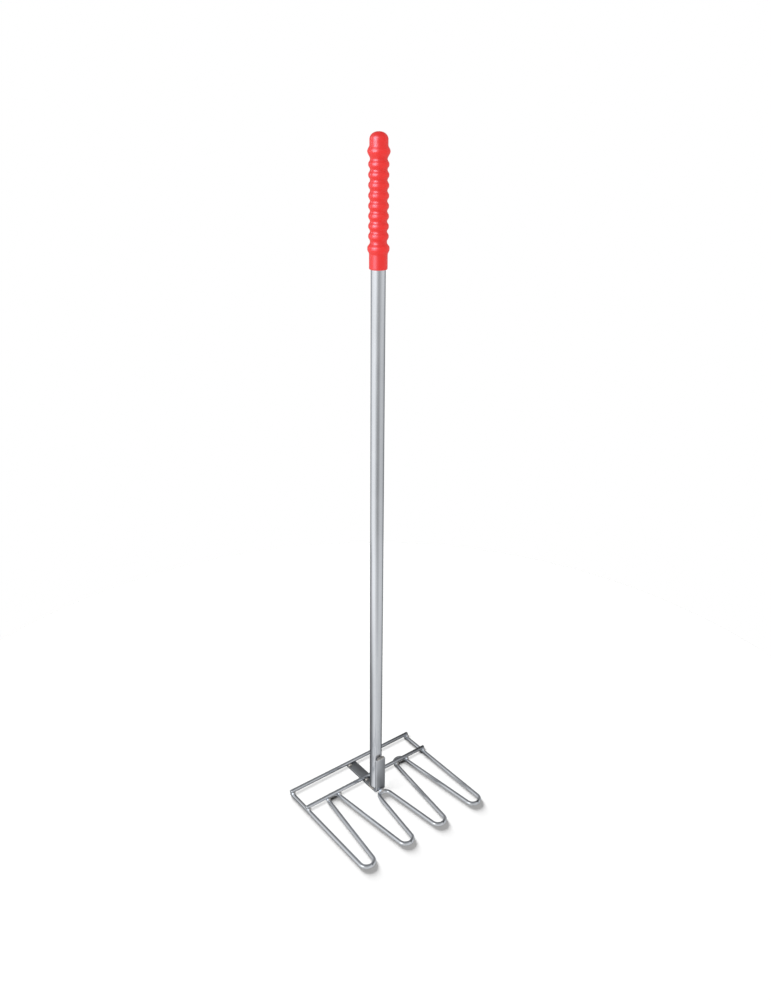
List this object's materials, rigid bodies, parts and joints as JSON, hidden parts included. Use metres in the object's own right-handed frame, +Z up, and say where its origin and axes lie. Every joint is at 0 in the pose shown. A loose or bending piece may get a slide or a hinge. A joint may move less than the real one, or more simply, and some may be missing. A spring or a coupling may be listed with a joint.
{
  "type": "uncapping fork",
  "caption": "Standing beekeeper's fork: a flat head of looped wire tines held by cross bars, a straight steel tube and a ribbed red push-on grip.",
  "frame": {"origin": "middle of the head's footprint, on the floor that the wire lies on", "axes": "+Z up along the tube, +X along the cross bars, the tines point to -Y"},
  "size_m": [0.2048, 0.1697, 0.839],
  "materials": {
    "grip": "soft satin PVC, moulded ribs",
    "tube": "bright drawn steel tube",
    "strip": "plain flat bar, darker than the wire",
    "bars": "bright round bar",
    "wire": "bright drawn wire",
    "weld": "small bright weld beads"
  },
  "bodies": {
    "root": {"grip": "grip", "shaft_tube": "tube", "bent_strip": "strip", "rear_bar": "bars", "front_bar": "bars", "tine_wire": "wire", "weld_front_bar_1": "weld", "weld_front_bar_2": "weld", "weld_front_bar_3": "weld", "weld_front_bar_4": "weld", "weld_front_bar_5": "weld", "weld_front_bar_6": "weld", "weld_rear_bar_left": "weld", "weld_rear_bar_right": "weld", "weld_strip_rear_bar": "weld", "weld_strip_front_bar": "weld", "weld_tube_foot": "weld", "weld_centre_valley": "weld", "weld_strip_top": "weld"}
  },
  "joints": []
}
